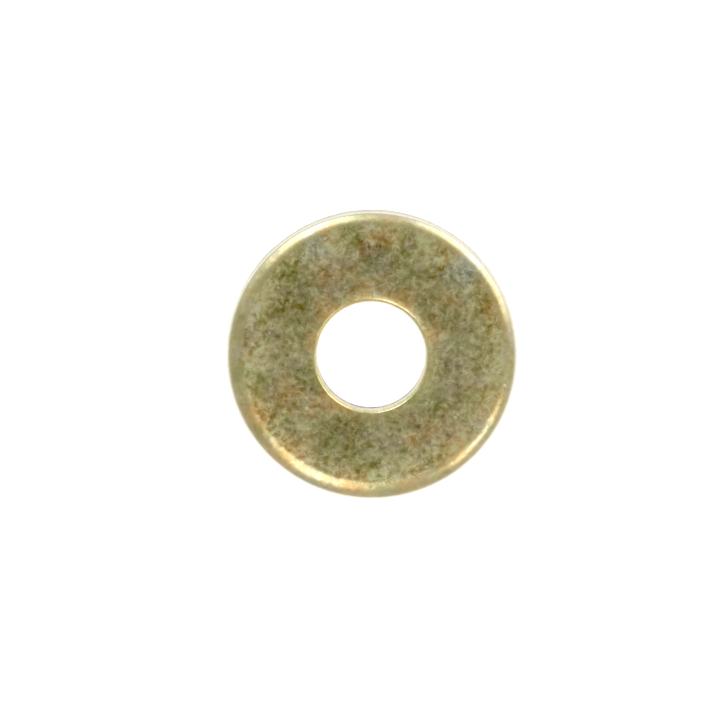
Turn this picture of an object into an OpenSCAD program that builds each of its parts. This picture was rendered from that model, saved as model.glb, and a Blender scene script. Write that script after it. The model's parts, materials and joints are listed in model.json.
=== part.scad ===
// Wide flat washer, stamped in one blow from steel strip and then plated.
// Millimetres. The underside lies on z = 0 and the hole's axis is the Z axis.
// The blow draws the top face down along both cut edges: that is the roll. The walls below it are
// straight, and tumbling has taken the burr off the two bottom edges.

/* [Ring] */
// Diameter across the rim
outer_d = 24; // [20:0.5:30]
// Diameter of the bolt hole
hole_d = 9; // [6:0.1:11]
// Thickness of the strip
thick = 2; // [1.6:0.1:3]

/* [Rim] */
// Width of the rolled band along the top of the rim
roll_w = 1.4; // [0.8:0.1:2]
// Radius of the rolled band's long, shallow curve
roll_r = 3; // [2.6:0.1:5]
// Radius of the short curve where the rolled band turns down into the rim's wall
shoulder_r = 0.4; // [0.2:0.05:0.5]

/* [Hole] */
// Radius of the rolled edge along the top of the hole
hole_roll_r = 0.3; // [0.2:0.05:0.7]

/* [Underside] */
// Radius of both bottom edges after tumbling
tumbled_r = 0.12; // [0.05:0.01:0.2]

/* [Hidden] */
// Sides of the washer and of each small curve, when they are drawn as a mesh
ring_sides = 240;
curve_sides = 96;
outer_r = outer_d / 2;
hole_r = hole_d / 2;
// Centre of the long curve, straight below the place where the rolled band starts
roll_centre = [outer_r - roll_w, thick - roll_r];
// Centre of the shoulder's curve, which touches the long curve from inside and the wall
shoulder_rise = sqrt(pow(roll_r - shoulder_r, 2) - pow(roll_w - shoulder_r, 2));
shoulder_centre = [outer_r - shoulder_r, roll_centre.y + shoulder_rise];
// A point past both curves on the line through their centres, level with its run-out above the top
past_shoulder = roll_centre + 2 * (shoulder_centre - roll_centre);

// What a round corner of radius r leaves outside it. The corner itself is at [0, 0], and the
// material lies towards +X and +Y.
module corner_waste(r) {
    difference() {
        square(r);
        translate([r, r]) circle(r, $fn = curve_sides);
    }
}

// What lies outside the rolled band and its shoulder, up to the blank's own corner
module rim_waste() {
    difference() {
        translate([roll_centre.x, shoulder_centre.y]) square([roll_w, thick - shoulder_centre.y]);
        translate(shoulder_centre) circle(shoulder_r, $fn = curve_sides);
        intersection() {
            translate(roll_centre) circle(roll_r, $fn = 4 * curve_sides);
            polygon([roll_centre, past_shoulder, [roll_centre.x, past_shoulder.y]]);
        }
    }
}

// Half of the washer's cross-section: X is the distance from the axis and Y is the height
module section() {
    difference() {
        translate([hole_r, 0]) square([outer_r - hole_r, thick]);
        rim_waste();
        translate([hole_r, thick]) mirror([0, 1]) corner_waste(hole_roll_r);
        translate([hole_r, 0]) corner_waste(tumbled_r);
        translate([outer_r, 0]) mirror([1, 0]) corner_waste(tumbled_r);
    }
}

module washer() {
    color("darkkhaki") rotate_extrude($fn = ring_sides) section();
}

washer();
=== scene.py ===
"""A stamped flat washer with yellow-passivated zinc plating, on a pale studio floor.

The washer is one piece. Its cross-section is spun into a ring, and then the marks of its making are
worked into the mesh: the uneven roll that the blanking die leaves along the rim, the sheared band on
both cut walls, the slight waves of the strip and the dents of the tumbling barrel.
"""

import json
import math
import random
from types import SimpleNamespace

import bmesh
import bpy
from bpy.props import FloatProperty, FloatVectorProperty, IntProperty, PointerProperty
from mathutils import Matrix, Vector, kdtree, noise


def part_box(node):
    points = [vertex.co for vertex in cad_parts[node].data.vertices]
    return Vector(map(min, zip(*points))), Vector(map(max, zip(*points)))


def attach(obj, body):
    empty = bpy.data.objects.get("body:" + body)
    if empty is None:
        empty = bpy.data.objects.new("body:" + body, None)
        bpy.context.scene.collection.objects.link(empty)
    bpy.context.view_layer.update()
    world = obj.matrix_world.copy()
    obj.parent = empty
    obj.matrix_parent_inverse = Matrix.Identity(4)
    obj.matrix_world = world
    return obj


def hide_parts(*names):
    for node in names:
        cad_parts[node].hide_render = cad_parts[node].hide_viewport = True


bl_info = {
    "name": "Plated flat washer",
    "version": (1, 0, 0),
    "blender": (4, 5, 0),
    "location": "3D View > Sidebar > Washer",
    "description": "Builds a stamped and plated flat washer and a small studio to show it in",
    "category": "Object",
}

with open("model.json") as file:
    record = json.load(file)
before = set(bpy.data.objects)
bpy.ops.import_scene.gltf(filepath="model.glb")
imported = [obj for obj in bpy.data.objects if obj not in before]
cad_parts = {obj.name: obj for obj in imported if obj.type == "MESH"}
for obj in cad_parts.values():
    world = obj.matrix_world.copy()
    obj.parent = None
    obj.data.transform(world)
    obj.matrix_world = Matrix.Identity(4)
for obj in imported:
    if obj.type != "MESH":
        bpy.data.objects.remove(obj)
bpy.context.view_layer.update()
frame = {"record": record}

MM = 0.001
WASHER_LOW, WASHER_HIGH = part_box("washer")
HOLE_MOUNT = next(m for m in frame["record"]["mounts"] if m["name"] == "bolt_hole")
OUTER_DIAMETER = round(WASHER_HIGH.x - WASHER_LOW.x, 4)
HOLE_DIAMETER = 2 * HOLE_MOUNT["dims"]["r_mm"] * MM
THICKNESS = round(WASHER_HIGH.z - WASHER_LOW.z, 5)

# How finely the ring is divided: round the axis, along each curve and along each straight stretch
RING_STEPS = 640
TUMBLED_STEPS = 3
SHOULDER_STEPS = 8
ROLL_STEPS = 16
HOLE_ROLL_STEPS = 8
UNDERSIDE_CUTS = 24
RIM_WALL_CUTS = 14
FACE_CUTS = 48
HOLE_WALL_CUTS = 12


def length(name, description, default, **more):
    """A length property in metres."""
    return FloatProperty(
        name=name, description=description, default=default, min=0, unit="LENGTH", precision=6, **more
    )


def colour(name, description, default):
    """A colour property in linear light."""
    return FloatVectorProperty(
        name=name, description=description, default=default, size=3, min=0, max=1, subtype="COLOR"
    )


def share(name, description, default, top=1.0):
    """A plain factor from nothing up to top."""
    return FloatProperty(name=name, description=description, default=default, min=0, max=top)


def turn(name, description, degrees):
    """An angle property, with its default given in degrees."""
    return FloatProperty(
        name=name, description=description, default=math.radians(degrees), subtype="ANGLE"
    )


class WasherSizes(bpy.types.PropertyGroup):
    """The washer's cross-section and how far its making has pulled it out of true"""

    outer_diameter: length("Outer diameter", "Across the rim", OUTER_DIAMETER)
    hole_diameter: length("Hole diameter", "Across the bolt hole", HOLE_DIAMETER)
    thickness: length("Thickness", "Thickness of the strip", THICKNESS)
    roll_width: length("Roll width", "Width of the rolled band along the top of the rim", 1.4 * MM)
    roll_radius: length("Roll radius", "Radius of the rolled band's long curve", 3 * MM)
    shoulder_radius: length("Shoulder radius", "Radius where the roll meets the rim's wall", 0.4 * MM)
    hole_roll_radius: length("Hole roll", "Radius of the hole's upper edge", 0.3 * MM)
    tumbled_radius: length("Tumbled radius", "Radius of both bottom edges", 0.12 * MM)
    roll_swing: share("Roll swing", "How much the roll's width changes round the rim", 0.16)
    roll_wide_side: turn("Wide side", "Direction in which the roll is widest", 232)
    rim_droop: length("Rim droop", "How far the face sinks towards the rim", 0.07 * MM)
    hole_droop: length("Hole droop", "How far the face sinks towards the hole", 0.08 * MM)
    hole_offset: length("Hole offset", "How far the punch stood off the rim's centre", 0.06 * MM)
    hole_offset_side: turn("Hole offset side", "Direction in which the punch stood off", 180)
    wave_height: length("Wave height", "Height of the strip's waves", 0.005 * MM)
    wave_length: length("Wave length", "Size of the strip's waves", 2.6 * MM)
    torn_depth: length("Torn depth", "How far the torn band of a cut wall stands back", 0.10 * MM)
    torn_share: share("Torn share", "Share of the thickness that tore and wasn't sheared", 0.42)


class WasherWear(bpy.types.PropertyGroup):
    """What the tumbling barrel did to the faces and edges"""

    seed: IntProperty(name="Seed", description="Picks another set of dents", default=8, min=0)
    face_dents: IntProperty(name="Face dents", description="Dents on each face", default=150, min=0)
    edge_dents: IntProperty(name="Edge dents", description="Dents on the rim's roll", default=90, min=0)
    dent_radius: length("Dent radius", "Radius of the largest dent", 0.75 * MM)
    dent_depth: length("Dent depth", "Depth of the deepest dent", 0.016 * MM)


class WasherFinish(bpy.types.PropertyGroup):
    """The colours and gloss of the yellow-passivated zinc, and the colours of its painted glints"""

    khaki: colour("Khaki", "The film's usual colour", (0.61, 0.53, 0.215))
    olive: colour("Olive", "Where the film is thinner", (0.515, 0.487, 0.182))
    dun: colour("Dun", "Where the film is dull", (0.65, 0.55, 0.29))
    amber: colour("Amber", "Where the film is thickest", (0.78, 0.515, 0.185))
    blue_grey: colour("Blue grey", "Where the film is thinnest", (0.63, 0.63, 0.43))
    # Pale is partly worn film on the scratches' ridges and partly painted glint on the scratches and
    # bright points
    pale: colour("Pale", "Ridges of scratches and bright points", (0.84, 0.76, 0.46))
    # Frost also lightens the bright points, which are painted glints
    frost: colour("Frost", "What the lightest grain adds to the film", (0.56, 0.53, 0.345))
    bare_zinc: colour("Bare zinc", "Rubbed edges", (0.82, 0.80, 0.69))
    cut: colour("Cut wall", "The smooth band of the cut walls", (0.41, 0.395, 0.32))
    torn: colour("Torn band", "The rough band of the cut walls", (0.34, 0.32, 0.245))
    roughness: share("Roughness", "Roughness of the faces", 0.26)
    grain_depth: length("Grain depth", "Height of the frosty grain", 0.007 * MM)


class StudioLook(bpy.types.PropertyGroup):
    """The floor, the lights and the camera"""

    frame_width: length("Frame width", "Width of what the camera sees at the washer", 59.55 * MM)
    camera_distance: length("Camera distance", "From the washer to the camera", 0.45)
    camera_lean: turn("Camera lean", "How far the camera leans off the washer's axis", 8)
    light_distance: length("Light distance", "From the washer to each soft light", 1.0)
    light_radiance: share("Light radiance", "Brightness of the soft lights", 3.8, top=100)
    light_colour: colour("Light colour", "Colour of the soft lights", (0.75, 0.78, 1.0))
    floor: colour("Floor", "The floor's own grey, which its glow makes white", (0.40, 0.40, 0.40))
    floor_glow: share("Floor glow", "Light from below, as on a light table", 0.86, top=10)
    overhead: share("Overhead", "Brightness of the room straight above", 0.34, top=10)
    horizon: share("Horizon", "Brightness of the room all round", 0.85, top=10)
    window_side: turn("Window side", "Direction in which the room is brightest", 70)
    window_gain: share("Window gain", "How much the brightness changes round the room", 0.3)


# ---------------------------------------------------------------------------------------------
# The ring


def arc(centre, radius, start, end, steps):
    """Points of an arc in the cross-section, both ends included. Angles are degrees from outwards."""
    angles = [math.radians(start + (end - start) * step / steps) for step in range(steps + 1)]
    return [
        Vector((centre[0] + radius * math.cos(a), 0, centre[1] + radius * math.sin(a))) for a in angles
    ]


def shoulder_rise(sizes):
    """How far the shoulder's centre lies above the centre of the roll's long curve."""
    return math.sqrt(
        (sizes.roll_radius - sizes.shoulder_radius) ** 2
        - (sizes.roll_width - sizes.shoulder_radius) ** 2
    )


def section_corners(sizes):
    """The four rounded corners of the cross-section in order, each with the cuts along the straight
    stretch that follows it. X is the distance from the axis and Z the height."""
    rim, hole, top = sizes.outer_diameter / 2, sizes.hole_diameter / 2, sizes.thickness
    tumbled, shoulder = sizes.tumbled_radius, sizes.shoulder_radius
    roll, width, hole_roll = sizes.roll_radius, sizes.roll_width, sizes.hole_roll_radius
    rise = shoulder_rise(sizes)
    steepest = math.degrees(math.atan2(rise, width - shoulder))
    roll_centre = (rim - width, top - roll)
    shoulder_centre = (rim - shoulder, top - roll + rise)
    shoulder_arc = arc(shoulder_centre, shoulder, 0, steepest, SHOULDER_STEPS)
    roll_arc = arc(roll_centre, roll, steepest, 90, ROLL_STEPS)
    return [
        (arc((hole + tumbled, tumbled), tumbled, 180, 270, TUMBLED_STEPS), UNDERSIDE_CUTS),
        (arc((rim - tumbled, tumbled), tumbled, 270, 360, TUMBLED_STEPS), RIM_WALL_CUTS),
        (shoulder_arc[:-1] + roll_arc, FACE_CUTS),
        (arc((hole + hole_roll, top - hole_roll), hole_roll, 90, 180, HOLE_ROLL_STEPS), HOLE_WALL_CUTS),
    ]


def spin_ring(bm, sizes):
    """Draws the cross-section, divides its straight stretches and spins it round the axis."""
    corners = [([bm.verts.new(p) for p in points], cuts) for points, cuts in section_corners(sizes)]
    stretches = []
    for index, (verts, cuts) in enumerate(corners):
        for first, second in zip(verts, verts[1:]):
            bm.edges.new((first, second))
        following = corners[(index + 1) % len(corners)][0][0]
        stretches.append((bm.edges.new((verts[-1], following)), cuts))
    for stretch, cuts in stretches:
        bmesh.ops.subdivide_edges(bm, edges=[stretch], cuts=cuts)
    bmesh.ops.spin(
        bm,
        geom=bm.verts[:] + bm.edges[:],
        cent=(0, 0, 0),
        axis=(0, 0, 1),
        angle=math.tau,
        steps=RING_STEPS,
        use_merge=True,
    )
    bmesh.ops.recalc_face_normals(bm, faces=bm.faces)


def smooth_step(low, high, value):
    """0 at low, 1 at high and smooth between them."""
    t = min(1.0, max(0.0, (value - low) / (high - low)))
    return t * t * (3 - 2 * t)


def stretched(value, low, knee, high, factor):
    """value, with low to knee stretched by factor and knee to high taking up the difference."""
    new_knee = low + (knee - low) * factor
    if abs(value - low) <= abs(knee - low):
        return low + (value - low) * factor
    return new_knee + (value - knee) * (high - new_knee) / (high - knee)


def ripple(angle, height, turns, seed):
    """A smooth number from -height to height that changes round the ring and closes on itself."""
    spot = Vector((turns * math.cos(angle), turns * math.sin(angle), seed))
    return height * noise.noise(spot)


# How much of the swing in the roll's width shows in its depth
DEPTH_SWING = 0.5


def draw_down_rim(bm, sizes):
    """Makes the rolled band wider and deeper on one side, with small changes all the way round."""
    rim, top = sizes.outer_diameter / 2, sizes.thickness
    middle = (rim + sizes.hole_diameter / 2) / 2
    knee = rim - sizes.roll_width
    shoulder_height = top - sizes.roll_radius + shoulder_rise(sizes)
    for vert in bm.verts:
        x, y, height = vert.co
        radius, angle = math.hypot(x, y), math.atan2(y, x)
        if radius < middle:
            continue
        swing = sizes.roll_swing * math.cos(angle - sizes.roll_wide_side)
        width_factor = 1 + swing + ripple(angle, height=0.05, turns=1.6, seed=3.1)
        depth_factor = 1 + DEPTH_SWING * swing + ripple(angle, height=0.06, turns=2.3, seed=7.7)
        new_radius = stretched(radius, rim, knee, middle, width_factor)
        if height > sizes.tumbled_radius:
            height = stretched(height, top, shoulder_height, sizes.tumbled_radius, depth_factor)
        vert.co = (x * new_radius / radius, y * new_radius / radius, height)


# How far from the hole's edge the face starts to sink towards it
HOLE_DROOP_REACH = 1.6 * MM


def sink_edges(bm, sizes):
    """Lets the top face sink a little towards the rim and towards the hole, as stamping leaves it."""
    rim, hole, top = sizes.outer_diameter / 2, sizes.hole_diameter / 2, sizes.thickness
    middle = (rim + hole) / 2
    for vert in bm.verts:
        radius = vert.co.xy.length
        if radius > middle:
            sunk = sizes.rim_droop * ((radius - middle) / (rim - middle)) ** 2
        else:
            sunk = sizes.hole_droop * max(0.0, 1 - (radius - hole) / HOLE_DROOP_REACH) ** 3
        vert.co.z -= sunk * vert.co.z / top


def offset_hole(bm, sizes):
    """Moves the hole off the rim's centre, and the face with it, less and less towards the rim."""
    rim, hole = sizes.outer_diameter / 2, sizes.hole_diameter / 2
    push = sizes.hole_offset * Vector(
        (math.cos(sizes.hole_offset_side), math.sin(sizes.hole_offset_side), 0)
    )
    for vert in bm.verts:
        vert.co += push * (rim - vert.co.xy.length) / (rim - hole)


# A surface is a wall where the upright part of its normal is smaller than this
WALL_NORMAL = 0.5
# Half the height of the step between the sheared and the torn band
TEAR_STEP = 0.06 * MM
# The size of the torn band's roughness, and how much it changes the band's depth
TEAR_GRAIN = 0.35 * MM
TEAR_ROUGHNESS = 0.4


def tear_walls(bm, sizes):
    """Sets the lower, torn band of both cut walls back from the smooth, sheared band above it."""
    line = sizes.torn_share * sizes.thickness
    for vert in bm.verts:
        if abs(vert.normal.z) > WALL_NORMAL:
            continue
        angle = math.atan2(vert.co.y, vert.co.x)
        edge = line + sizes.thickness * ripple(angle, height=0.12, turns=5.0, seed=1.9)
        depth = smooth_step(edge + TEAR_STEP, edge - TEAR_STEP, vert.co.z)
        depth *= smooth_step(0, sizes.tumbled_radius, vert.co.z)
        rough = 1 - TEAR_ROUGHNESS + TEAR_ROUGHNESS * noise.noise(Vector(vert.co) / TEAR_GRAIN)
        vert.co -= vert.normal * sizes.torn_depth * depth * rough


# The strip's finer waves: how many of them fit in one long wave, and their height beside it
FINE_WAVES = 2.3
FINE_WAVE_HEIGHT = 0.5


def wave_strip(bm, sizes):
    """Gives the whole surface the shallow waves of rolled strip."""
    for vert in bm.verts:
        spot = Vector(vert.co) / sizes.wave_length
        waves = noise.noise(spot) + FINE_WAVE_HEIGHT * noise.noise(FINE_WAVES * spot)
        vert.co += vert.normal * sizes.wave_height * waves


# The sizes of the dents on the faces and along the roll, as shares of the dent radius, and their
# depths as shares of the dent depth
FACE_DENT_SIZES = (0.25, 1.0)
ROLL_DENT_SIZES = (0.2, 0.7)
DENT_DEPTHS = (0.3, 1.0)
# How much of the roll's width has dents, and how far the roll drops, as a share of the thickness
ROLL_DENT_BAND = 0.8
ROLL_DROP = 0.3


def dent_places(sizes, wear, dice):
    """A point, a radius and a depth for every dent, on the faces and along the rim's roll."""
    rim, hole = sizes.outer_diameter / 2, sizes.hole_diameter / 2
    places = []
    for height in (0, sizes.thickness):
        for _ in range(wear.face_dents):
            distance = math.sqrt(dice.uniform(hole**2, rim**2))
            places.append((distance, height, dice.uniform(*FACE_DENT_SIZES)))
    for _ in range(wear.edge_dents):
        inwards = dice.uniform(0, ROLL_DENT_BAND) * sizes.roll_width
        drop = (1 - inwards / sizes.roll_width) ** 2 * ROLL_DROP * sizes.thickness
        places.append((rim - inwards, sizes.thickness - drop, dice.uniform(*ROLL_DENT_SIZES)))
    for distance, height, size in places:
        angle = dice.uniform(0, math.tau)
        centre = Vector((distance * math.cos(angle), distance * math.sin(angle), height))
        depth = wear.dent_depth * size * dice.uniform(*DENT_DEPTHS)
        yield centre, wear.dent_radius * size, depth


def dent(bm, sizes, wear):
    """Presses shallow round dents into the surface."""
    dice = random.Random(wear.seed)
    tree = kdtree.KDTree(len(bm.verts))
    for vert in bm.verts:
        tree.insert(vert.co, vert.index)
    tree.balance()
    bm.verts.ensure_lookup_table()
    for centre, radius, depth in dent_places(sizes, wear, dice):
        for _, index, distance in tree.find_range(centre, radius):
            vert = bm.verts[index]
            vert.co -= vert.normal * depth * (1 - (distance / radius) ** 2) ** 2


# The upright part of the normal at which a wall's look starts and at which it is full
WALL_LOOK = (0.55, 0.12)
# How far the surface leans, in degrees, where it stops looking flat and where it looks fully rolled
ROLL_LEANS = (0.8, 6.8)


def mark_regions(bm):
    """Stores how far each point belongs to a cut wall and to a rolled edge, for the plating to use,
    and shades the ring smooth."""
    wall = bm.verts.layers.float.new("wall")
    rolled = bm.verts.layers.float.new("rolled")
    flat_cosine, rolled_cosine = (math.cos(math.radians(lean)) for lean in ROLL_LEANS)
    for vert in bm.verts:
        upright = abs(vert.normal.z)
        vert[wall] = smooth_step(*WALL_LOOK, upright)
        vert[rolled] = smooth_step(flat_cosine, rolled_cosine, upright)
    for face in bm.faces:
        face.smooth = True


def build_washer(sizes, wear):
    """The finished washer mesh, in its place on the floor."""
    bm = bmesh.new()
    spin_ring(bm, sizes)
    draw_down_rim(bm, sizes)
    sink_edges(bm, sizes)
    offset_hole(bm, sizes)
    bm.normal_update()
    bm.verts.index_update()
    mark_regions(bm)
    tear_walls(bm, sizes)
    wave_strip(bm, sizes)
    bm.normal_update()
    dent(bm, sizes, wear)
    mesh = bpy.data.meshes.new("washer_ring")
    bm.to_mesh(mesh)
    bm.free()
    return mesh


# ---------------------------------------------------------------------------------------------
# The plating


def add_node(tree, kind, sockets=None, **settings):
    """A new node. Each input is given a value, or the output socket that feeds it."""
    node = tree.nodes.new(kind)
    node.location = (200 * (len(tree.nodes) % 12), -260 * (len(tree.nodes) // 12))
    for name, value in settings.items():
        setattr(node, name, value)
    for key, value in (sockets or {}).items():
        if isinstance(value, bpy.types.NodeSocket):
            tree.links.new(value, node.inputs[key])
        else:
            node.inputs[key].default_value = value
    return node


def calc(tree, operation, *values):
    """The result of a Math node."""
    return add_node(tree, "ShaderNodeMath", dict(enumerate(values)), operation=operation).outputs[0]


def blend_colours(tree, factor, first, second):
    """first where factor is 0 and second where it is 1."""
    sockets = {0: factor, 6: first, 7: second}
    return add_node(tree, "ShaderNodeMix", sockets, data_type="RGBA").outputs[2]


def step_between(tree, value, low, high):
    """A smooth step of value, from 0 at low to 1 at high."""
    sockets = {"Value": value, "From Min": low, "From Max": high}
    return add_node(
        tree, "ShaderNodeMapRange", sockets, interpolation_type="SMOOTHSTEP"
    ).outputs[0]


def cloud(tree, vector, scale, detail=2.0, roughness=0.5, shift=0.0, distortion=0.0):
    """Soft noise. Shift picks another part of it."""
    moved = add_node(
        tree, "ShaderNodeVectorMath", {0: vector, 1: (shift, shift, shift)}, operation="ADD"
    )
    sockets = {
        "Vector": moved.outputs[0],
        "Scale": scale,
        "Detail": detail,
        "Roughness": roughness,
        "Distortion": distortion,
    }
    return add_node(tree, "ShaderNodeTexNoise", sockets).outputs["Fac"]


def new_group(name, inputs, outputs):
    """An empty shader node group with named sockets, and its input and output nodes."""
    group = bpy.data.node_groups.new(name, "ShaderNodeTree")
    for direction, sockets in (("INPUT", inputs), ("OUTPUT", outputs)):
        for socket_name, (kind, default) in sockets.items():
            socket = group.interface.new_socket(socket_name, in_out=direction, socket_type=kind)
            if default is not None:
                socket.default_value = default
    return group, add_node(group, "NodeGroupInput").outputs, add_node(group, "NodeGroupOutput").inputs


def group_node(tree, group, sockets):
    """A node group placed in a tree, with its own values."""
    return add_node(tree, "ShaderNodeGroup", sockets, node_tree=group)


VECTOR, FLOAT, COLOUR = "NodeSocketVector", "NodeSocketFloat", "NodeSocketColor"


# The film's clouds: the colour, how fine they are, which part of the noise they use, and the noise's
# values where they start and where they are full
FILM_CLOUDS = (
    ("Olive", 0.45, 5, 0.40, 0.66),
    ("Dun", 0.60, 17, 0.46, 0.74),
    ("Blue Grey", 0.38, 31, 0.64, 1.0),
    ("Amber", 0.30, 43, 0.54, 0.80),
)
FILM_DETAIL = 1.6


def film_group():
    """The passivation film's colour: soft clouds of other colours on khaki. The vector is in
    millimetres."""
    colours = {name: (COLOUR, None) for name in ("Khaki", *(cloud_row[0] for cloud_row in FILM_CLOUDS))}
    group, given, out = new_group(
        "passivation_film", {"Vector": (VECTOR, None), **colours}, {"Color": (COLOUR, None)}
    )
    body = given["Khaki"]
    for name, scale, shift, low, high in FILM_CLOUDS:
        clouds = cloud(group, given["Vector"], scale, detail=FILM_DETAIL, shift=shift)
        body = blend_colours(group, step_between(group, clouds, low, high), body, given[name])
    group.links.new(body, out["Color"])
    return group


# Where a patch starts and where it is full, as shares of its radius
PATCH_BORDER = (1.1, 0.1)


def patch_group():
    """One soft patch of the film round a centre, strongest in the middle."""
    group, given, out = new_group(
        "film_patch",
        {"Vector": (VECTOR, None), "Centre": (VECTOR, (0, 0, 0)), "Radius": (FLOAT, 2.0)},
        {"Mask": (FLOAT, None)},
    )
    apart = add_node(
        group, "ShaderNodeVectorMath", {0: given["Vector"], 1: given["Centre"]}, operation="DISTANCE"
    )
    reach = calc(group, "DIVIDE", apart.outputs["Value"], given["Radius"])
    group.links.new(step_between(group, reach, *PATCH_BORDER), out["Mask"])
    return group


# The directions of the sets of scratches in degrees, and how far each set is moved from the last
SCRATCH_TURNS = (8, 39, 71, 100, 133, 164)
SCRATCH_SHIFT = (7.3, 3.1, 0)
# How far the scratches bend, and how quickly they bend from one place to the next
SCRATCH_BEND = 0.35
SCRATCH_BEND_SCALE = 0.8
# Where a scratch starts and where it is full, as shares of its cell
SCRATCH_BORDER = (0.50, 0.0)


def scratches_group():
    """Short scratches that lie in all directions, as a tumbling barrel leaves them."""
    group, given, out = new_group(
        "tumbling_scratches",
        {
            "Vector": (VECTOR, None),
            "Length": (FLOAT, 0.85),
            "Width": (FLOAT, 0.20),
            "Amount": (FLOAT, 0.45),
        },
        {"Mask": (FLOAT, None)},
    )
    bend = add_node(
        group,
        "ShaderNodeTexNoise",
        {"Vector": given["Vector"], "Scale": SCRATCH_BEND_SCALE, "Detail": 1.0},
    ).outputs["Color"]
    bend = add_node(group, "ShaderNodeVectorMath", {0: bend, 3: SCRATCH_BEND}, operation="SCALE")
    bent = add_node(
        group, "ShaderNodeVectorMath", {0: given["Vector"], 1: bend.outputs[0]}, operation="ADD"
    ).outputs[0]
    along = calc(group, "DIVIDE", 1.0, given["Length"])
    across = calc(group, "DIVIDE", 1.0, given["Width"])
    cell = add_node(group, "ShaderNodeCombineXYZ", {"X": along, "Y": across, "Z": across}).outputs[0]
    total = None
    for number, degrees in enumerate(SCRATCH_TURNS):
        turned = add_node(
            group,
            "ShaderNodeVectorRotate",
            {"Vector": bent, "Angle": math.radians(degrees)},
            rotation_type="Z_AXIS",
        )
        stretched_out = add_node(
            group, "ShaderNodeVectorMath", {0: turned.outputs[0], 1: cell}, operation="MULTIPLY"
        )
        shift = tuple(number * step for step in SCRATCH_SHIFT)
        moved = add_node(
            group, "ShaderNodeVectorMath", {0: stretched_out.outputs[0], 1: shift}, operation="ADD"
        )
        cells = add_node(group, "ShaderNodeTexVoronoi", {"Vector": moved.outputs[0], "Scale": 1.0})
        chance = add_node(group, "ShaderNodeSeparateColor", {0: cells.outputs["Color"]}).outputs[0]
        kept = step_between(group, chance, calc(group, "SUBTRACT", 1.0, given["Amount"]), 1.0)
        line = step_between(group, cells.outputs["Distance"], *SCRATCH_BORDER)
        line = calc(group, "MULTIPLY", line, kept)
        total = line if total is None else calc(group, "MAXIMUM", total, line)
    group.links.new(total, out["Mask"])
    return group


# How strongly each kind of mark shows in the grain's tone, and its usual value
MOTTLE_TONE = (2.1, 0.5)
FLECK_TONE = (0.9, 0.5)
CURL_TONE = (0.34, 0.2)
DARKEST_TONE = -0.8
# The bright points, which are painted glints: how many cells fit in a millimetre, the share of a cell
# that its point fills, and the part of the cells that have one
POINT_CELLS = 1.3
POINT_BORDER = (0.26, 0.10)
POINT_CHANCE = (0.80, 0.95)
# The sizes of the curls beside the grain's, the width of their lines and the part of them that shows
CURL_SIZES = (0.55, 0.88)
CURL_WIDTH = 0.10
CURL_KEPT = (0.45, 0.62)


def curly_marks(group, vector, pitch):
    """Short curls, which are the lines where soft noise passes its middle, in a few places only."""
    curls = None
    for number, size in enumerate(CURL_SIZES):
        scale = calc(group, "MULTIPLY", pitch, size)
        loops = cloud(group, vector, scale, detail=0.4, shift=23 + 9 * number, distortion=0.4)
        off_loop = calc(group, "ABSOLUTE", calc(group, "SUBTRACT", loops, 0.5))
        places = cloud(group, vector, scale, detail=0, shift=37 + number)
        kept = step_between(group, places, *CURL_KEPT)
        curl = calc(group, "MULTIPLY", step_between(group, off_loop, CURL_WIDTH, 0.0), kept)
        curls = curl if curls is None else calc(group, "MAXIMUM", curls, curl)
    return curls


def frost_group():
    """The mottled, frosty skin of tumbled and plated steel: how much lighter or darker than usual it
    is, with short curly marks, its height and a mask of its bright points, which are painted glints."""
    group, given, out = new_group(
        "frosty_grain",
        {"Vector": (VECTOR, None), "Size": (FLOAT, 0.5)},
        {"Tone": (FLOAT, None), "Height": (FLOAT, None), "Points": (FLOAT, None)},
    )
    vector = given["Vector"]
    pitch = calc(group, "DIVIDE", 1.0, given["Size"])
    mottle = cloud(group, vector, 0.30, detail=2.7, roughness=1.0, distortion=0.3)
    flecks = cloud(group, vector, 2.4, detail=0.6, roughness=0.8, shift=51)
    height = cloud(group, vector, pitch, detail=0.5, roughness=0.5, distortion=0.4)
    # The bright points are painted glints
    cells = add_node(group, "ShaderNodeTexVoronoi", {"Vector": vector, "Scale": POINT_CELLS})
    chance = add_node(group, "ShaderNodeSeparateColor", {0: cells.outputs["Color"]}).outputs[0]
    points = step_between(group, cells.outputs["Distance"], *POINT_BORDER)
    points = calc(group, "MULTIPLY", points, step_between(group, chance, *POINT_CHANCE))
    curls = curly_marks(group, vector, pitch)
    tone = 0.0
    for mark, (weight, usual) in ((mottle, MOTTLE_TONE), (flecks, FLECK_TONE), (curls, CURL_TONE)):
        tone = calc(group, "MULTIPLY_ADD", calc(group, "SUBTRACT", mark, usual), weight, tone)
    group.links.new(calc(group, "MAXIMUM", tone, DARKEST_TONE), out["Tone"])
    group.links.new(height, out["Height"])
    group.links.new(points, out["Points"])
    return group


# How ragged the borders of the edge masks are: the noise's scale, its swing and the least reach
RAGGED_SCALE = 1.7
RAGGED_SWING = 1.6
RAGGED_LEAST = 0.2
# Where an edge mask starts and where it is full, as shares of its reach
EDGE_BORDER = (1.2, 0.2)


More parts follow.
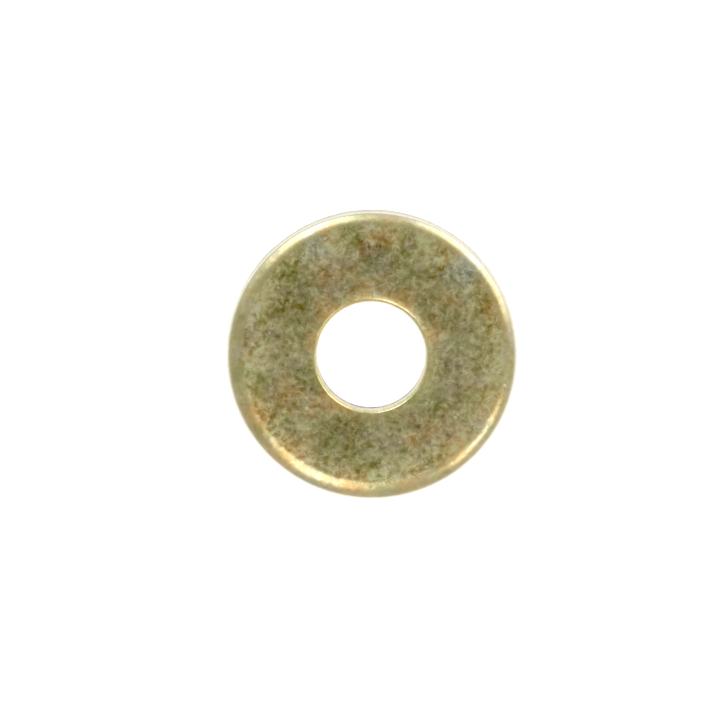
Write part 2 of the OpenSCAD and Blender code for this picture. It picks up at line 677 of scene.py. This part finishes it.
def edge_group(sizes):
    """How close a point is to the rim or to the hole's edge, with a ragged border."""
    # The group's masks feed both the rubbed wear and the painted sheen towards the rim and the hole
    group, given, out = new_group(
        "edge_rub_and_sheen",
        {
            "Vector": (VECTOR, None),
            "Rim Radius": (FLOAT, sizes.outer_diameter / 2 / MM),
            "Hole Radius": (FLOAT, sizes.hole_diameter / 2 / MM),
            "Rim Reach": (FLOAT, 1.8),
            "Hole Reach": (FLOAT, 1.2),
        },
        {"Rim": (FLOAT, None), "Hole": (FLOAT, None)},
    )
    flat = add_node(
        group, "ShaderNodeVectorMath", {0: given["Vector"], 1: (1, 1, 0)}, operation="MULTIPLY"
    )
    distance = add_node(
        group, "ShaderNodeVectorMath", {0: flat.outputs[0]}, operation="LENGTH"
    ).outputs["Value"]
    ragged = cloud(group, given["Vector"], RAGGED_SCALE, detail=3)
    ragged = calc(group, "MULTIPLY_ADD", ragged, RAGGED_SWING, RAGGED_LEAST)
    from_rim = calc(group, "SUBTRACT", given["Rim Radius"], distance)
    from_hole = calc(group, "SUBTRACT", distance, given["Hole Radius"])
    for name, gap in (("Rim", from_rim), ("Hole", from_hole)):
        reach = calc(group, "MULTIPLY", given[f"{name} Reach"], ragged)
        share_of_reach = calc(group, "DIVIDE", gap, reach)
        group.links.new(step_between(group, share_of_reach, *EDGE_BORDER), out[name])
    return group


# Soft patches of the film, listed one by one: the colour's name, the centre and the radius in
# millimetres, and the strength
FILM_PATCHES = (
    ("blue_grey", (7.7, 7.2), 2.1, 0.9),
    ("blue_grey", (-4.6, 9.0), 1.7, 0.6),
    ("blue_grey", (0.6, 7.7), 1.6, 0.4),
    ("blue_grey", (-11.4, 0.6), 1.6, 0.5),
    ("amber", (-9.8, -5.2), 2.4, 0.9),
    ("amber", (-7.0, -8.6), 2.8, 0.8),
    ("amber", (-6.9, -3.2), 1.8, 0.7),
    ("amber", (-1.6, -11.4), 2.4, 0.9),
    ("amber", (3.4, -11.0), 2.2, 0.7),
    ("amber", (7.4, -8.2), 2.4, 0.9),
    ("amber", (10.3, -4.4), 2.0, 0.9),
    ("amber", (5.2, 1.8), 1.6, 0.9),
    ("amber", (2.6, 4.6), 1.6, 0.8),
    ("amber", (-0.8, 5.2), 1.6, 0.7),
    ("amber", (-3.6, 3.8), 1.8, 0.9),
    ("amber", (-5.0, 1.4), 1.2, 0.7),
    ("amber", (-3.4, 10.6), 1.4, 0.8),
    ("amber", (10.6, 3.2), 1.8, 0.5),
)
# How far the patches are pulled out of round, in millimetres, and how fine the pulls are
FILM_WARP = 3.2
FILM_WARP_SCALE = 0.55


def linear(values):
    """A colour property with an opaque alpha."""
    return (*values, 1.0)


def plating_colour(tree, vector, finish, groups):
    """The film's colour on any face: its clouds, then the listed patches."""
    film = group_node(
        tree,
        groups["film"],
        {
            "Vector": vector,
            "Khaki": linear(finish.khaki),
            "Olive": linear(finish.olive),
            "Dun": linear(finish.dun),
            "Amber": linear(finish.amber),
            "Blue Grey": linear(finish.blue_grey),
        },
    )
    shown = film.outputs["Color"]
    swirl = add_node(
        tree, "ShaderNodeTexNoise", {"Vector": vector, "Scale": FILM_WARP_SCALE, "Detail": 3.0}
    )
    warped = add_node(
        tree,
        "ShaderNodeVectorMath",
        {0: swirl.outputs["Color"], 1: (FILM_WARP, FILM_WARP, FILM_WARP), 2: vector},
        operation="MULTIPLY_ADD",
    ).outputs[0]
    for name, (x, y), radius, strength in FILM_PATCHES:
        centre = tuple(part + FILM_WARP / 2 for part in (x, y, THICKNESS / MM))
        patch = group_node(
            tree, groups["patch"], {"Vector": warped, "Centre": centre, "Radius": radius}
        )
        amount = calc(tree, "MULTIPLY", patch.outputs["Mask"], strength)
        shown = blend_colours(tree, amount, shown, linear(getattr(finish, name)))
    return shown


# The torn band of the cut walls: the heights in millimetres, wave included, at which it starts and at
# which it is full, the height of its border's waves and how fine they are
TORN_BORDER = (1.25, 1.05)
TORN_WAVE = 0.6
TORN_WAVE_SCALE = 0.7
# The torn band's streaks are narrow across the wall and long up it
STREAK_SCALE = (6.0, 6.0, 1.2)


def torn_band(tree, vector, wall):
    """A mask of the torn band low on the cut walls, and the upright streaks that tearing leaves."""
    level = add_node(tree, "ShaderNodeSeparateXYZ", {0: vector}).outputs["Z"]
    border = cloud(tree, vector, TORN_WAVE_SCALE, shift=3)
    border = calc(tree, "MULTIPLY_ADD", border, TORN_WAVE, level)
    torn = calc(tree, "MULTIPLY", step_between(tree, border, *TORN_BORDER), wall)
    streaks = add_node(
        tree, "ShaderNodeVectorMath", {0: vector, 1: STREAK_SCALE}, operation="MULTIPLY"
    ).outputs[0]
    return torn, cloud(tree, streaks, 1.0, detail=3, roughness=0.6)


# How far each edge mask reaches, in millimetres
NEAR_REACH = {"Rim Reach": 1.6}
# The widest rim mask carries the painted sheen towards the rim
PAINTED_SHEEN_REACH = {"Rim Reach": 3.6}
SHARP_REACH = {"Rim Reach": 0.42, "Hole Reach": 0.3}
# The grooves are a second set of scratches, taken from this far away
GROOVE_SHIFT = (31.0, 17.0, 0.0)
# How much of the grain's tone is lost on the roll, how much of its height, and how much at the hole
ROLL_CALM = 0.67
ROLL_SMOOTH = 0.76
HOLE_CALM = 0.5


def washer_masks(tree, vector, groups):
    """Everything that varies over the washer: its grain, scratches, edges, walls and torn band."""
    elsewhere = add_node(
        tree, "ShaderNodeVectorMath", {0: vector, 1: GROOVE_SHIFT}, operation="ADD"
    ).outputs[0]
    near, band, sharp = (
        group_node(tree, groups["edge"], {"Vector": vector, **reach})
        for reach in (NEAR_REACH, PAINTED_SHEEN_REACH, SHARP_REACH)
    )
    wall = add_node(tree, "ShaderNodeAttribute", attribute_name="wall").outputs["Fac"]
    rolled = add_node(tree, "ShaderNodeAttribute", attribute_name="rolled").outputs["Fac"]
    torn, tear = torn_band(tree, vector, wall)
    hole_calm = calc(tree, "MULTIPLY", near.outputs["Hole"], HOLE_CALM)
    calm, smoothed = (
        calc(tree, "MAXIMUM", hole_calm, calc(tree, "MULTIPLY", rolled, loss))
        for loss in (ROLL_CALM, ROLL_SMOOTH)
    )
    return SimpleNamespace(
        grain=group_node(tree, groups["frost"], {"Vector": vector}),
        scratches=group_node(tree, groups["scratches"], {"Vector": vector}),
        grooves=group_node(tree, groups["scratches"], {"Vector": elsewhere}),
        near=near,
        band=band,
        sharp=sharp,
        wall=wall,
        rolled=rolled,
        torn=torn,
        tear=tear,
        patchy=calc(tree, "SUBTRACT", 1.0, calm),
        bumpy=calc(tree, "SUBTRACT", 1.0, smoothed),
    )


# How strongly the bright points, which are painted glints, and the scratches, partly worn film and partly
# painted glint, turn the film pale
PAINTED_GLINT_PALE = 0.8
SCRATCH_PALE = 0.55
# What the grooves, the painted glints of the bright points and the walls' streaks add to the grain's tone
GROOVE_TONE = -0.35
PAINTED_GLINT_TONE = 0.2
STREAK_TONE = 0.5
# Painted sheen: how much brighter the film's colour is made towards the rim and towards the hole,
# standing in for the light that the sloping edges catch
RIM_PAINTED_SHEEN = 0.43
HOLE_PAINTED_SHEEN = 0.45
# How much of the film is rubbed off near the rim, on its shoulder and on the hole's edge
RIM_RUB = 0.10
SHOULDER_RUB = 0.65
HOLE_RUB = 0.35


def washer_colour(tree, vector, finish, groups, masks):
    """The film's colour, with its pale marks and painted glints, the cut walls, the grain, the painted
    sheen towards the rim and the hole, and the rubbed edges.
    """
    grain = masks.grain.outputs
    shown = plating_colour(tree, vector, finish, groups)
    # Painted glints: the bright points and, in part, the scratches turn the film pale
    bright = calc(tree, "MULTIPLY", grain["Points"], PAINTED_GLINT_PALE)
    bright = calc(tree, "MULTIPLY_ADD", masks.scratches.outputs["Mask"], SCRATCH_PALE, bright)
    bright = calc(tree, "MULTIPLY", bright, masks.patchy)
    shown = blend_colours(tree, bright, shown, linear(finish.pale))
    shown = blend_colours(tree, masks.wall, shown, linear(finish.cut))
    shown = blend_colours(tree, masks.torn, shown, linear(finish.torn))

    lift = calc(tree, "MULTIPLY_ADD", masks.grooves.outputs["Mask"], GROOVE_TONE, grain["Tone"])
    # The bright points also lift the tone, as painted glints
    lift = calc(tree, "MULTIPLY_ADD", grain["Points"], PAINTED_GLINT_TONE, lift)
    lift = calc(tree, "MULTIPLY", lift, masks.patchy)
    streak = calc(tree, "MULTIPLY", calc(tree, "SUBTRACT", masks.tear, 0.5), masks.wall)
    lift = calc(tree, "MULTIPLY_ADD", streak, STREAK_TONE, lift)
    shown = add_node(
        tree,
        "ShaderNodeVectorMath",
        {0: lift, 1: tuple(finish.frost), 2: shown},
        operation="MULTIPLY_ADD",
    ).outputs[0]

    # Painted sheen: the film's colour is brightened towards the rim and towards the hole
    gain = calc(tree, "MULTIPLY_ADD", masks.band.outputs["Rim"], RIM_PAINTED_SHEEN, 1.0)
    gain = calc(tree, "MULTIPLY_ADD", masks.near.outputs["Hole"], HOLE_PAINTED_SHEEN, gain)
    shown = add_node(tree, "ShaderNodeVectorMath", {0: shown, 3: gain}, operation="SCALE").outputs[0]
    rubbed = calc(tree, "MULTIPLY", masks.near.outputs["Rim"], RIM_RUB)
    rubbed = calc(tree, "MULTIPLY_ADD", masks.sharp.outputs["Rim"], SHOULDER_RUB, rubbed)
    rubbed = calc(tree, "MULTIPLY_ADD", masks.sharp.outputs["Hole"], HOLE_RUB, rubbed)
    rubbed = calc(tree, "MULTIPLY", rubbed, calc(tree, "SUBTRACT", 1.0, masks.wall))
    return blend_colours(tree, rubbed, shown, linear(finish.bare_zinc))


# What the grain, the roll and the torn band add to the roughness
GRAIN_ROUGHNESS = 0.10
ROLL_ROUGHNESS = 0.03
TORN_ROUGHNESS = 0.18
# How high the torn band's streaks are beside the grain
STREAK_HEIGHT = 5.0


def washer_surface(tree, finish, masks):
    """The roughness, and the normal with the grain's and the torn band's bumps."""
    height = calc(tree, "MULTIPLY", masks.grain.outputs["Height"], masks.bumpy)
    rough = calc(
        tree, "MULTIPLY_ADD", height, GRAIN_ROUGHNESS, finish.roughness - GRAIN_ROUGHNESS / 2
    )
    rough = calc(tree, "MULTIPLY_ADD", masks.rolled, ROLL_ROUGHNESS, rough)
    rough = calc(tree, "MULTIPLY_ADD", masks.torn, TORN_ROUGHNESS, rough)
    streaks = calc(tree, "MULTIPLY", masks.tear, masks.torn)
    height = calc(tree, "MULTIPLY_ADD", streaks, STREAK_HEIGHT, height)
    bump = add_node(
        tree, "ShaderNodeBump", {"Height": height, "Distance": finish.grain_depth, "Strength": 1.0}
    )
    return rough, bump.outputs[0]


def plated_material(finish, groups):
    """Yellow-passivated zinc: yellow faces, paler cut walls and a dull, rough band low on the walls."""
    material = bpy.data.materials.new("yellow_zinc")
    material.use_nodes = True
    tree = material.node_tree
    shader = tree.nodes["Principled BSDF"]
    shader.inputs["Metallic"].default_value = 1.0
    place = add_node(tree, "ShaderNodeTexCoord").outputs["Object"]
    vector = add_node(
        tree, "ShaderNodeMapping", {"Vector": place, "Scale": (1 / MM, 1 / MM, 1 / MM)}
    ).outputs[0]
    masks = washer_masks(tree, vector, groups)
    rough, normal = washer_surface(tree, finish, masks)
    shown = washer_colour(tree, vector, finish, groups, masks)
    tree.links.new(shown, shader.inputs["Base Color"])
    tree.links.new(rough, shader.inputs["Roughness"])
    tree.links.new(normal, shader.inputs["Normal"])
    return material


class WASHER_OT_stamp_ring(bpy.types.Operator):
    """Builds the washer ring, with its rolled rim, cut walls and plating"""

    bl_idname = "washer.stamp_ring"
    bl_label = "Stamp the washer"
    bl_options = {"REGISTER", "UNDO"}

    def execute(self, context):
        scene = context.scene
        washer = bpy.data.objects.new(
            "washer_ring", build_washer(scene.washer_sizes, scene.washer_wear)
        )
        scene.collection.objects.link(washer)
        groups = {
            "film": film_group(),
            "patch": patch_group(),
            "scratches": scratches_group(),
            "frost": frost_group(),
            "edge": edge_group(scene.washer_sizes),
        }
        washer.data.materials.append(plated_material(scene.washer_finish, groups))
        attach(washer, "root")
        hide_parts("washer")
        return {"FINISHED"}


# ---------------------------------------------------------------------------------------------
# The studio

# Each soft light: its direction round the washer, its angle from straight above, its width and height
# as seen from the washer, in degrees, and its share of the usual brightness
SOFT_LIGHTS = (
    (36, 41, 38, 25, 0.44),
    (119, 36.5, 24, 23, 0.55),
    (252, 28.5, 10, 20, 0.74),
    (310, 33.5, 13, 9, 0.76),
    (88, 33, 75, 26, 0.05),
    (149, 38, 20, 22, 0.07),
)


SOFT_WHITE = (1.0, 1.0, 0.99, 1.0)
FLOOR_HALF_SIDE = 4.0
FLOOR_ROUGHNESS = 0.9
FLOOR_GLOSS = 0.1
# The room's light changes from horizon to overhead between these upward parts of a direction
ROOM_LEVELS = (0.20, 0.88)
# Where the camera looks, beside the washer's axis and halfway up the washer
AIM_POINT = (-0.98 * MM, -0.44 * MM, THICKNESS / 2)


def make_floor(studio):
    """A large pale floor that glows a little, as a light table does, so that shadows stay faint."""
    bm = bmesh.new()
    bmesh.ops.create_grid(bm, x_segments=1, y_segments=1, size=FLOOR_HALF_SIDE)
    mesh = bpy.data.meshes.new("floor")
    bm.to_mesh(mesh)
    bm.free()
    material = bpy.data.materials.new("pale_floor")
    material.use_nodes = True
    shader = material.node_tree.nodes["Principled BSDF"]
    shader.inputs["Base Color"].default_value = linear(studio.floor)
    shader.inputs["Roughness"].default_value = FLOOR_ROUGHNESS
    shader.inputs["Specular IOR Level"].default_value = FLOOR_GLOSS
    shader.inputs["Emission Color"].default_value = SOFT_WHITE
    shader.inputs["Emission Strength"].default_value = studio.floor_glow
    mesh.materials.append(material)
    floor = bpy.data.objects.new("floor", mesh)
    bpy.context.scene.collection.objects.link(floor)


def aim(thing, back, up):
    """Turns an object so that its +Z points along back and its +Y as near as it can to up."""
    z = back.normalized()
    x = up.cross(z).normalized()
    thing.rotation_euler = Matrix((x, z.cross(x), z)).transposed().to_euler()


def make_light(number, studio, around, off_axis, width, height, strength):
    """One soft light that faces the washer. Its width lies level."""
    around, off_axis = math.radians(around), math.radians(off_axis)
    back = Vector(
        (math.sin(off_axis) * math.cos(around), math.sin(off_axis) * math.sin(around), math.cos(off_axis))
    )
    light = bpy.data.lights.new(f"soft_light_{number}", "AREA")
    light.shape = "RECTANGLE"
    light.color = studio.light_colour
    light.size = 2 * studio.light_distance * math.tan(math.radians(width / 2))
    light.size_y = 2 * studio.light_distance * math.tan(math.radians(height / 2))
    light.energy = studio.light_radiance * strength * math.pi * light.size * light.size_y
    lamp = bpy.data.objects.new(light.name, light)
    lamp.location = back * studio.light_distance
    aim(lamp, back, Vector((0, 0, 1)))
    bpy.context.scene.collection.objects.link(lamp)


def make_room(studio):
    """The light of the room: dim overhead, brighter towards the horizon and brightest on one side."""
    world = bpy.data.worlds.new("room")
    world.use_nodes = True
    tree = world.node_tree
    direction = add_node(tree, "ShaderNodeTexCoord").outputs["Generated"]
    level = add_node(tree, "ShaderNodeSeparateXYZ", {0: direction}).outputs["Z"]
    window = (math.cos(studio.window_side), math.sin(studio.window_side), 0)
    facing = add_node(
        tree, "ShaderNodeVectorMath", {0: direction, 1: window}, operation="DOT_PRODUCT"
    ).outputs["Value"]
    horizon = calc(tree, "MULTIPLY_ADD", facing, studio.window_gain, studio.horizon)
    strength = add_node(
        tree,
        "ShaderNodeMapRange",
        {
            "Value": level,
            "From Min": ROOM_LEVELS[0],
            "From Max": ROOM_LEVELS[1],
            "To Min": horizon,
            "To Max": studio.overhead,
        },
        interpolation_type="SMOOTHSTEP",
    ).outputs[0]
    background = tree.nodes["Background"]
    background.inputs["Color"].default_value = SOFT_WHITE
    tree.links.new(strength, background.inputs["Strength"])
    bpy.context.scene.world = world


def make_camera(studio):
    """The camera leans off the washer's axis towards +Y and keeps +Y at the top of its view."""
    data = bpy.data.cameras.new("camera")
    data.lens = data.sensor_width * studio.camera_distance / studio.frame_width
    camera = bpy.data.objects.new("camera", data)
    lean = studio.camera_lean
    back = Vector((0, math.sin(lean), math.cos(lean)))
    up = Vector((0, math.cos(lean), -math.sin(lean)))
    camera.location = Vector(AIM_POINT) + back * studio.camera_distance
    aim(camera, back, up)
    bpy.context.scene.collection.objects.link(camera)
    bpy.context.scene.camera = camera


class WASHER_OT_set_stage(bpy.types.Operator):
    """Lays the pale floor and sets the soft lights, the room and the camera"""

    bl_idname = "washer.set_stage"
    bl_label = "Set the stage"
    bl_options = {"REGISTER", "UNDO"}

    def execute(self, context):
        studio = context.scene.washer_studio
        make_floor(studio)
        for number, light in enumerate(SOFT_LIGHTS, start=1):
            make_light(number, studio, *light)
        make_room(studio)
        make_camera(studio)
        context.scene.view_settings.view_transform = "Standard"
        return {"FINISHED"}


class WASHER_PT_panel(bpy.types.Panel):
    """The washer's sizes, wear, finish and studio, and the buttons that build them"""

    bl_idname = "WASHER_PT_panel"
    bl_label = "Flat washer"
    bl_space_type = "VIEW_3D"
    bl_region_type = "UI"
    bl_category = "Washer"

    def draw(self, context):
        for title, group in (
            ("Sizes", context.scene.washer_sizes),
            ("Wear", context.scene.washer_wear),
            ("Finish", context.scene.washer_finish),
            ("Studio", context.scene.washer_studio),
        ):
            column = self.layout.column(heading=title)
            for name in group.__annotations__:
                column.prop(group, name)
        self.layout.operator(WASHER_OT_stamp_ring.bl_idname)
        self.layout.operator(WASHER_OT_set_stage.bl_idname)


GROUPS = {
    "washer_sizes": WasherSizes,
    "washer_wear": WasherWear,
    "washer_finish": WasherFinish,
    "washer_studio": StudioLook,
}
CLASSES = (*GROUPS.values(), WASHER_OT_stamp_ring, WASHER_OT_set_stage, WASHER_PT_panel)


def register():
    for cls in CLASSES:
        bpy.utils.register_class(cls)
    for name, group in GROUPS.items():
        setattr(bpy.types.Scene, name, PointerProperty(type=group))


def unregister():
    for name in GROUPS:
        delattr(bpy.types.Scene, name)
    for cls in reversed(CLASSES):
        bpy.utils.unregister_class(cls)


def main():
    register()
    bpy.ops.washer.stamp_ring()
    bpy.ops.washer.set_stage()
    bpy.context.view_layer.update()


if __name__ == "__main__":
    main()
